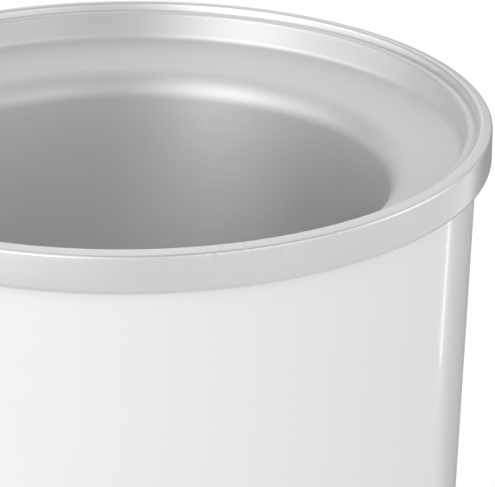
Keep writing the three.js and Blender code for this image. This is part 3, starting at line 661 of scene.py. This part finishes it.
def housing_shell():
    top = housing_high.z
    mouth = WELL_RADIUS + WELL_DRAFT * (top - DECK_TOP)
    deck_under = DECK_TOP - DECK_THICKNESS
    bush_low, bush_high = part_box("output_bush")
    bore = bush_high.y + GAP
    boss_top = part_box("shaft_seal")[0].z - GAP
    boss_bottom = bush_low.z - BUSH_SEAT
    collar_under = top - HOUSING_WALL
    return lathe("base_housing_gloss", [
        (BASE_RADIUS, housing_low.z, 1.5 * MM),
        (BASE_TOP_RADIUS, top, 4 * MM),
        (mouth, top, 2 * MM),
        (WELL_RADIUS, DECK_TOP, 1.5 * MM),
        (SHAFT_BOSS, DECK_TOP, 1.2 * MM),
        (SHAFT_BOSS, boss_top, 0.6 * MM),
        (bore, boss_top),
        (bore, boss_bottom),
        (SHAFT_BOSS, boss_bottom),
        (SHAFT_BOSS, deck_under),
        (WELL_RADIUS + HOUSING_WALL, deck_under),
        (mouth + HOUSING_WALL, collar_under),
        (BASE_TOP_RADIUS - HOUSING_WALL, collar_under),
        (BASE_RADIUS - HOUSING_WALL, housing_low.z),
    ], FINE)


def switch_pad():
    """The flat pad that the switch sits in, and the block that is cut away in front of it."""
    half = (switch_high.x - switch_low.x) / 2 + PAD_MARGIN
    bottom, top = switch_low.z - PAD_MARGIN, switch_high.z + PAD_MARGIN
    back = -PAD_RADIUS + PAD_DEPTH
    pad = box("pad", (-half, -PAD_RADIUS, bottom), (half, back, top), 0.5 * MM)
    front = box("front", (-half, -PAD_RADIUS - PAD_DEPTH, bottom), (half, -PAD_RADIUS, top))
    return pad, front


def screw_pillars():
    """The posts under the deck that the bottom cover's and the gearbox's screws go into."""
    lid_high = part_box("gearbox_lid")[1]
    screws = [(f"cover_screw_{index}", cover_high.z) for index in range(1, 5)]
    screws += [(f"gearbox_screw_{index}", lid_high.z) for index in range(1, 4)]
    pillars = []
    for node, below in screws:
        x, y, _ = middle(node)
        bottom, top = below + GAP, DECK_TOP - PILLAR_DROP
        pillars.append(cylinder("pillar", PILLAR_RADIUS, bottom, top, x, y))
    return pillars


def switch_window():
    centre = Vector((0, -PAD_RADIUS, SWITCH_HEIGHT))
    half = Vector(WINDOW_HALF)
    return box("window", centre - half, centre + half)


def gland_seat():
    """The flat that the gland's flange rests on, and the hole behind it."""
    half = GLAND_SEAT_HALF
    seat = box(
        "seat",
        (-half, GLAND_FLAT, GLAND_HEIGHT - half),
        (half, GLAND_FLAT + GLAND_SEAT_DEPTH, GLAND_HEIGHT + half),
    )
    hole = cylinder("hole", GLAND_HOLE, -HOLE_REACH, HOLE_REACH)
    laid = Matrix.Rotation(math.pi / 2, 4, "X")
    return seat, moved(hole, Matrix.Translation((0, GLAND_FLAT, GLAND_HEIGHT)) @ laid)


def base_housing():
    housing = housing_shell()
    pad, front = switch_pad()
    combine(housing, [pad, *screw_pillars()], "UNION")
    return combine(housing, [front, switch_window(), *gland_seat()], "DIFFERENCE")


COVER_SCREW_HOLE = 2.1 * MM
FOOT_HOLE = 3.3 * MM
VENT_WIDTH = 3 * MM
VENT_LENGTH = 34 * MM
VENT_PITCH = 8 * MM
OVERCUT = 2 * MM
SCREW_RADIUS = 1.8 * MM
SCREW_HEAD_RADIUS = 3.6 * MM
SCREW_HEAD_HEIGHT = 2 * MM
FOOT_STEM = 3.0 * MM
HUB_BOSS = 14 * MM
HUB_FLANGE = 2.4 * MM
OUTPUT_BORE = 4.3 * MM
MOTOR_BORE = 2.3 * MM
COIL_BORE = 17.4 * MM
SOCKET_BORE = 14.6 * MM
SEAL_BORE = 4.25 * MM
CAN_WALL = 1 * MM
CAN_BORE = 4.3 * MM
LUG_START = 7 * MM
LUG_END = 19 * MM
LUG_WIDTH = 6 * MM
LUG_BEVEL = 0.6 * MM
LUG_END_PLAY = 0.6 * MM
LUG_SIDE_PLAY = 1.2 * MM


def bottom_cover():
    radius, under, top = cover_high.x, cover_low.z, cover_high.z
    cover = lathe("bottom_cover_moulded", [
        (0, under),
        (radius, under, 0.8 * MM),
        (radius, top, 0.3 * MM),
        (0, top),
    ], FINE)
    cuts = []
    for kind, radius in (("cover_screw", COVER_SCREW_HOLE), ("foot", FOOT_HOLE)):
        for index in range(1, 5):
            x, y, _ = middle(f"{kind}_{index}")
            cuts.append(cylinder("hole", radius, under - OVERCUT, top + OVERCUT, x, y))
    x, y, _ = middle("motor_can")
    for index in range(-3, 4):
        outline = slot_outline(x + index * VENT_PITCH, y, VENT_WIDTH, VENT_LENGTH)
        cuts.append(prism("vent", outline, under - OVERCUT, top + OVERCUT))
    return combine(cover, cuts, "DIFFERENCE")


def foot(node):
    """A rubber foot with a hollow under it and a barbed stem that holds it in the cover."""
    low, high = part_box(node)
    shoulder = cover_low.z - GAP
    barb = cover_high.z + GAP
    x, y, _ = middle(node)
    return shifted(lathe(node + "_rubber", [
        (0, 0.7 * MM),
        (5.0 * MM, 0.7 * MM, 0.4 * MM),
        (5.9 * MM, 0, 0.4 * MM),
        (9.0 * MM, 0, 1.0 * MM),
        (8.4 * MM, shoulder, 0.5 * MM),
        (FOOT_STEM, shoulder),
        (FOOT_STEM, barb),
        (4.0 * MM, barb, 0.3 * MM),
        (2.0 * MM, high.z, 0.5 * MM),
        (0, high.z),
    ], SMALL), x, y)


def screw(node):
    """A pan-head screw, head down, with a cross recess."""
    low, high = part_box(node)
    x, y, _ = middle(node)
    head = low.z + SCREW_HEAD_HEIGHT
    body = lathe(node + "_turned", [
        (0, low.z),
        (SCREW_HEAD_RADIUS, low.z, 1.1 * MM),
        (SCREW_HEAD_RADIUS, head, 0.2 * MM),
        (SCREW_RADIUS, head),
        (SCREW_RADIUS, high.z - SCREW_RADIUS),
        (0, high.z),
    ], SMALL)
    arm, half, depth = 2.0 * MM, 0.42 * MM, 1.2 * MM
    recess = [
        box("recess", (-arm, -half, low.z - depth), (arm, half, low.z + depth), 0.15 * MM),
        box("recess", (-half, -arm, low.z - depth), (half, arm, low.z + depth), 0.15 * MM),
    ]
    return shifted(combine(body, recess, "DIFFERENCE"), x, y)


def lug_bars(radius, width, z0, z1, bevel):
    """The three radial bars of the hub, or the slots that they fit in."""
    bars = []
    for index in range(3):
        bar = box("lug", (LUG_START, -width / 2, z0), (radius, width / 2, z1), bevel)
        bars.append(moved(bar, Matrix.Rotation(math.radians(90 + 120 * index), 4, "Z")))
    return bars


def drive_hub():
    flange_top = hub_low.z + HUB_FLANGE
    hub = lathe("drive_hub_moulded", [
        (0, hub_high.z - 2 * MM),
        (OUTPUT_BORE, hub_high.z - 2 * MM),
        (OUTPUT_BORE, hub_low.z, 0.3 * MM),
        (hub_high.y, hub_low.z, 0.8 * MM),
        (hub_high.y, flange_top, 0.8 * MM),
        (HUB_BOSS, flange_top, 1.2 * MM),
        (HUB_BOSS, hub_high.z, 1.5 * MM),
        (0, hub_high.z),
    ], MEDIUM)
    bars = lug_bars(LUG_END, LUG_WIDTH, flange_top - 1 * MM, hub_high.z - 1 * MM, LUG_BEVEL)
    return combine(hub, bars, "UNION")


def drive_socket():
    low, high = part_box("drive_socket")
    ring = lathe("drive_socket_moulded", [
        (SOCKET_BORE, low.z, 0.6 * MM),
        (high.y, low.z, 0.3 * MM),
        (high.y, high.z, 0.3 * MM),
        (SOCKET_BORE, high.z, 0.3 * MM),
    ], MEDIUM)
    reach, width = LUG_END + LUG_END_PLAY, LUG_WIDTH + LUG_SIDE_PLAY
    bars = lug_bars(reach, width, low.z - OVERCUT, high.z + OVERCUT, 0)
    return combine(ring, bars, "DIFFERENCE")


def shaft_seal():
    low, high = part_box("shaft_seal")
    return lathe("shaft_seal_lipped", [
        (SEAL_BORE, low.z),
        (high.y, low.z, 0.3 * MM),
        (high.y - 1.7 * MM, high.z, 0.4 * MM),
        (7.0 * MM, high.z, 0.4 * MM),
        (5.6 * MM, low.z + 0.7 * MM, 0.4 * MM),
        (SEAL_BORE, high.z - 0.2 * MM, 0.2 * MM),
    ], MEDIUM)


def ring(node, bore, chamfer):
    """A bush or another plain ring about a vertical axis."""
    low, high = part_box(node)
    radius = (high.x - low.x) / 2
    x, y, _ = middle(node)
    return shifted(lathe(node + "_turned", [
        (bore, low.z, chamfer),
        (radius, low.z, chamfer),
        (radius, high.z, chamfer),
        (bore, high.z, chamfer),
    ], MEDIUM), x, y)


def shaft(node):
    low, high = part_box(node)
    radius = (high.x - low.x) / 2
    chamfer = 0.4 * MM
    x, y, _ = middle(node)
    return shifted(lathe(node + "_ground", [
        (0, low.z),
        (radius, low.z, chamfer),
        (radius, high.z, chamfer),
        (0, high.z),
    ], SMALL), x, y)


def rocker_pin():
    low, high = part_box("rocker_pin")
    half = (high.x - low.x) / 2
    radius = (high.z - low.z) / 2
    pin = lathe("rocker_pin_ground", [
        (0, -half), (radius, -half, 0.2 * MM), (radius, half, 0.2 * MM), (0, half),
    ], SMALL)
    laid = Matrix.Rotation(math.pi / 2, 4, "Y")
    return moved(pin, Matrix.Translation(middle("rocker_pin")) @ laid)


def motor_can():
    low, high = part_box("motor_can")
    radius = (high.x - low.x) / 2
    x, y, _ = middle("motor_can")
    return shifted(lathe("motor_can_drawn", [
        (CAN_BORE, low.z, 0.3 * MM),
        (radius, low.z, 2.2 * MM),
        (radius, high.z, 0.2 * MM),
        (radius - CAN_WALL, high.z, 0.2 * MM),
        (radius - CAN_WALL, low.z + CAN_WALL, 1.2 * MM),
        (CAN_BORE, low.z + CAN_WALL, 0.3 * MM),
    ], MEDIUM), x, y)


def switch_block(name, half_width, front, back, half_height, bevel, segments=3):
    """A block of the switch, centred on the switch's height."""
    low = (-half_width, front, SWITCH_HEIGHT - half_height)
    high = (half_width, back, SWITCH_HEIGHT + half_height)
    return box(name, low, high, bevel, segments)


def switch_body():
    front = switch_low.y
    flange_back = front + 1.3 * MM
    barrel_front = front + 0.3 * MM
    pocket_front, pocket_back = front - 2 * MM, front + 12 * MM
    body = switch_block("switch_body_moulded", 9 * MM, front, flange_back, 12.8 * MM, 0.6 * MM, 4)
    barrel = switch_block("barrel", 6.7 * MM, barrel_front, switch_high.y, 10.5 * MM, 0.4 * MM)
    pocket = switch_block("pocket", 5.4 * MM, pocket_front, pocket_back, 9.2 * MM, 0.3 * MM)
    combine(body, [barrel], "UNION")
    return combine(body, [pocket], "DIFFERENCE")


ROCKER_TILT = math.radians(11)
ROCKER_HALF = 8.2 * MM
ROCKER_WIDTH = 10.2 * MM
ROCKER_FACE = 2.8 * MM
ROCKER_DISH = 1.2 * MM
ROCKER_STEPS = 12
MARK_HEIGHT = 4.6 * MM


def rocker_face(height):
    """How far the rocker's dished face stands forward of the pivot."""
    return ROCKER_FACE + ROCKER_DISH * (height / ROCKER_HALF) ** 2


def stood_up(obj):
    """Takes a piece drawn with X forwards and Y up to its place on the tilted rocker."""
    pivot = middle("rocker_pin")
    stand = Matrix(((0, 0, -1, 0), (-1, 0, 0, 0), (0, 1, 0, 0), (0, 0, 0, 1)))
    return moved(obj, Matrix.Translation(pivot) @ Matrix.Rotation(ROCKER_TILT, 4, "X") @ stand)


def switch_rocker():
    outline = []
    for k in range(ROCKER_STEPS + 1):
        height = ROCKER_HALF * (1 - 2 * k / ROCKER_STEPS)
        outline.append((rocker_face(height), height))
    keel, keel_half = -3.2 * MM, 2.4 * MM
    outline += [(0, -ROCKER_HALF), (keel, -keel_half), (keel, keel_half), (0, ROCKER_HALF)]
    rocker = prism("switch_rocker_moulded", outline, -ROCKER_WIDTH / 2, ROCKER_WIDTH / 2)
    bevel_edges(rocker, 0.45 * MM)
    return stood_up(rocker)


def switch_marks():
    """The raised line and ring that stand for on and off."""
    height = MARK_HEIGHT
    face = rocker_face(height)
    line = box(
        "switch_marks",
        (face - 0.4 * MM, height - 1.4 * MM, -0.25 * MM),
        (face + 0.12 * MM, height + 1.4 * MM, 0.25 * MM),
        0.1 * MM,
    )
    circle = lathe("ring", [
        (1.0 * MM, -0.5 * MM), (1.45 * MM, -0.5 * MM), (1.45 * MM, 0.16 * MM, 0.1 * MM),
        (1.0 * MM, 0.16 * MM, 0.1 * MM),
    ], SMALL)
    slope = math.atan(2 * ROCKER_DISH * height / ROCKER_HALF ** 2)
    lean = Matrix.Rotation(math.pi / 2 - slope, 4, "Y")
    moved(circle, Matrix.Translation((face, -height, 0)) @ lean)
    combine(line, [circle], "UNION")
    return stood_up(line)


def cord_gland():
    tail, face = gland_low.y, gland_high.y
    seat = face - 2 * GAP
    gland = lathe("cord_gland_moulded", [
        (3.6 * MM, tail, 0.3 * MM),
        (6.6 * MM, tail, 0.4 * MM),
        (6.6 * MM, tail + 1.6 * MM, 0.3 * MM),
        (6.0 * MM, tail + 1.6 * MM),
        (6.0 * MM, seat),
        (8.0 * MM, seat, 0.1 * MM),
        (8.0 * MM, face, 0.4 * MM),
        (5.0 * MM, face, 0.3 * MM),
        (3.6 * MM, face - 1.2 * MM, 0.4 * MM),
    ], MEDIUM)
    laid = Matrix.Rotation(-math.pi / 2, 4, "X")
    return moved(gland, Matrix.Translation((0, 0, GLAND_HEIGHT)) @ laid)


def rim_gasket():
    low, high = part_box("rim_gasket")
    inner = STEP_RADIUS + 2 * MM
    return lathe("rim_gasket_rubber", [
        (inner, low.z, 0.5 * MM), (high.y, low.z, 0.5 * MM),
        (high.y, high.z, 0.5 * MM), (inner, high.z, 0.5 * MM),
    ], FINE)


# Pieces with a function of their own, which has the CAD node's name
PIECES = (
    rim_band, bowl_liner, bowl_shell, bowl_base_cap, filler_plug, base_housing, rim_gasket,
    bottom_cover, drive_hub, drive_socket, shaft_seal, motor_can, switch_body, switch_rocker,
    rocker_pin, cord_gland,
)
RINGS = {               # bore and chamfer
    "output_bush": (OUTPUT_BORE, 0.3 * MM),
    "motor_bush_lower": (MOTOR_BORE, 0.3 * MM),
    "motor_bush_upper": (MOTOR_BORE, 0.3 * MM),
    "rotor_magnet": (MOTOR_BORE, 0.3 * MM),
    "stator_coil": (COIL_BORE, 1.5 * MM),
}

for make in PIECES:
    place(make(), make.__name__)
for node, (bore, chamfer) in RINGS.items():
    place(ring(node, bore, chamfer), node)
for node in ("output_shaft", "idler_pin", "motor_shaft"):
    place(shaft(node), node)
for index in range(1, 5):
    place(foot(f"foot_{index}"), f"foot_{index}")
for node in frame["nodes"]:
    if "_screw_" in node:
        place(screw(node), node)

marks = switch_marks()
marks.data.materials.clear()
marks.data.materials.append(white_plastic)
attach(marks, "rocker")

for node in frame["nodes"]:
    if not frame["nodes"][node].hide_render:
        dress(node)


# ---- Floor, lights and camera ----

FLOOR_FRONT = 0.92      # how much of the light the floor gives back to the object
FLOOR_BACK = 0.38
FLOOR_GLOW = 0.34       # extra light that keeps the floor white to the camera
SKY = 0.13
LAMPS = {               # azimuth, elevation and width in degrees, and strength
    "key": (228, 10, 31, 2.8),
    "front": (306, 10, 30, 1.25),
    "right": (4, 10, 24, 1.5),
    "left": (180, 10, 22, 1.2),
    "back": (90, 40, 45, 0.8),
    "top": (0, 90, 32, 0.3),
}
BACKGROUND = 1.1
FLOOR_TURNS_DARK = (0.48, 0.62)     # share of Y in the way out, where the floor turns dark with painted shade
FLOOR_RADIUS = 14
STRIP_PLACE = (0.353, 0.205, 0.12)
STRIP_AIM = (0.085, -0.02, 0.12)
STRIP_SIZE = (0.010, 0.24)
STRIP_POWER = 0.03


def node_math(tree, operation, a, b=0.0):
    node = tree.nodes.new("ShaderNodeMath")
    node.operation = operation
    for socket, value in zip(node.inputs, (a, b)):
        if isinstance(value, bpy.types.NodeSocket):
            tree.links.new(value, socket)
        else:
            socket.default_value = value
    return node.outputs[0]


def floor_material():
    """White to the camera. It lights the object as a pale floor does, with painted shade that makes
    it darker behind it.
    """
    material = bpy.data.materials.new("floor")
    material.use_nodes = True
    tree = material.node_tree
    tree.nodes.clear()
    output = tree.nodes.new("ShaderNodeOutputMaterial")
    mix = tree.nodes.new("ShaderNodeMixShader")
    path = tree.nodes.new("ShaderNodeLightPath")
    white = tree.nodes.new("ShaderNodeBsdfDiffuse")
    white.inputs["Color"].default_value = (0.95, 0.95, 0.95, 1)
    glow = tree.nodes.new("ShaderNodeEmission")
    glow.inputs["Strength"].default_value = FLOOR_GLOW
    seen = tree.nodes.new("ShaderNodeAddShader")
    tree.links.new(white.outputs[0], seen.inputs[0])
    tree.links.new(glow.outputs[0], seen.inputs[1])
    lit = tree.nodes.new("ShaderNodeBsdfDiffuse")
    geometry = tree.nodes.new("ShaderNodeNewGeometry")
    unit = tree.nodes.new("ShaderNodeVectorMath")
    unit.operation = "NORMALIZE"
    tree.links.new(geometry.outputs["Position"], unit.inputs[0])
    split = tree.nodes.new("ShaderNodeSeparateXYZ")
    tree.links.new(unit.outputs[0], split.inputs[0])
    # painted shade: to rays other than the camera's, the floor's colour falls from FLOOR_FRONT in
    # front to FLOOR_BACK behind
    spread = tree.nodes.new("ShaderNodeMapRange")
    tree.links.new(split.outputs["Y"], spread.inputs["Value"])
    spread.inputs["From Min"].default_value = FLOOR_TURNS_DARK[0]
    spread.inputs["From Max"].default_value = FLOOR_TURNS_DARK[1]
    spread.inputs["To Min"].default_value = FLOOR_FRONT
    spread.inputs["To Max"].default_value = FLOOR_BACK
    tree.links.new(spread.outputs[0], lit.inputs["Color"])
    tree.links.new(path.outputs["Is Camera Ray"], mix.inputs[0])
    tree.links.new(lit.outputs[0], mix.inputs[1])
    tree.links.new(seen.outputs[0], mix.inputs[2])
    tree.links.new(mix.outputs[0], output.inputs[0])
    return material


def make_floor():
    bm = bmesh.new()
    bmesh.ops.create_circle(bm, cap_ends=True, radius=FLOOR_RADIUS, segments=MEDIUM)
    floor = finish_mesh("floor", bm)
    floor.data.materials.append(floor_material())


def soft_lamp(tree, direction, azimuth, elevation, width, strength):
    """A round glow in the sky that fades outwards. Angles are in degrees."""
    turn, rise = math.radians(azimuth), math.radians(elevation)
    towards = (math.cos(turn) * math.cos(rise), math.sin(turn) * math.cos(rise), math.sin(rise))
    dot = tree.nodes.new("ShaderNodeVectorMath")
    dot.operation = "DOT_PRODUCT"
    tree.links.new(direction, dot.inputs[0])
    dot.inputs[1].default_value = towards
    away = node_math(tree, "ARCCOSINE", dot.outputs["Value"])
    share = node_math(tree, "DIVIDE", away, math.radians(width))
    fade = node_math(tree, "MULTIPLY", node_math(tree, "MULTIPLY", share, share), -1.0)
    return node_math(tree, "MULTIPLY", node_math(tree, "EXPONENT", fade), strength)


def make_world():
    """White to the camera. It lights the object with an even sky and a few soft lamps."""
    world = bpy.data.worlds.new("studio")
    bpy.context.scene.world = world
    world.use_nodes = True
    tree = world.node_tree
    tree.nodes.clear()
    output = tree.nodes.new("ShaderNodeOutputWorld")
    mix = tree.nodes.new("ShaderNodeMixShader")
    path = tree.nodes.new("ShaderNodeLightPath")
    seen = tree.nodes.new("ShaderNodeBackground")
    seen.inputs["Strength"].default_value = BACKGROUND
    lit = tree.nodes.new("ShaderNodeBackground")
    direction = tree.nodes.new("ShaderNodeTexCoord").outputs["Generated"]
    total = SKY
    for lamp in LAMPS.values():
        total = node_math(tree, "ADD", soft_lamp(tree, direction, *lamp), total)
    tree.links.new(total, lit.inputs["Color"])
    tree.links.new(path.outputs["Is Camera Ray"], mix.inputs[0])
    tree.links.new(lit.outputs[0], mix.inputs[1])
    tree.links.new(seen.outputs[0], mix.inputs[2])
    tree.links.new(mix.outputs[0], output.inputs[0])


def make_edge_strip():
    """A narrow upright lamp behind and to the right, for the thin bright line on the wall."""
    data = bpy.data.lights.new("edge_strip", "AREA")
    data.shape = "RECTANGLE"
    data.size, data.size_y = STRIP_SIZE
    data.energy = STRIP_POWER
    lamp = bpy.data.objects.new("edge_strip", data)
    bpy.context.scene.collection.objects.link(lamp)
    lamp.location = STRIP_PLACE
    direction = Vector(STRIP_AIM) - Vector(STRIP_PLACE)
    lamp.rotation_mode = "QUATERNION"
    lamp.rotation_quaternion = direction.to_track_quat("-Z", "Y")
    lamp.visible_camera = False


def make_camera():
    """Ten rim radii from the rim's centre, 20.4 degrees up, aimed a little below and right of it."""
    distance = 10 * RIM_RADIUS
    elevation = 0.3569
    pitch, yaw, roll = 0.3918, 0.0350, 0.0041
    data = bpy.data.cameras.new("camera")
    data.sensor_width = 36
    data.lens = 263.93
    data.clip_start = 0.05
    data.clip_end = 60
    camera = bpy.data.objects.new("camera", data)
    bpy.context.scene.collection.objects.link(camera)
    height = BAND_CORNER + distance * math.sin(elevation)
    camera.location = (0, -distance * math.cos(elevation), height)
    camera.rotation_mode = "QUATERNION"
    level = math.cos(pitch)
    ahead = Vector((math.sin(yaw) * level, math.cos(yaw) * level, -math.sin(pitch)))
    upright = ahead.to_track_quat("-Z", "Y").to_matrix().to_4x4()
    camera.rotation_quaternion = (Matrix.Rotation(roll, 4, -ahead) @ upright).to_quaternion()
    bpy.context.scene.camera = camera


make_camera()
make_floor()
make_world()
make_edge_strip()

bpy.context.scene.view_settings.view_transform = "Standard"
bpy.context.scene.view_settings.look = "None"
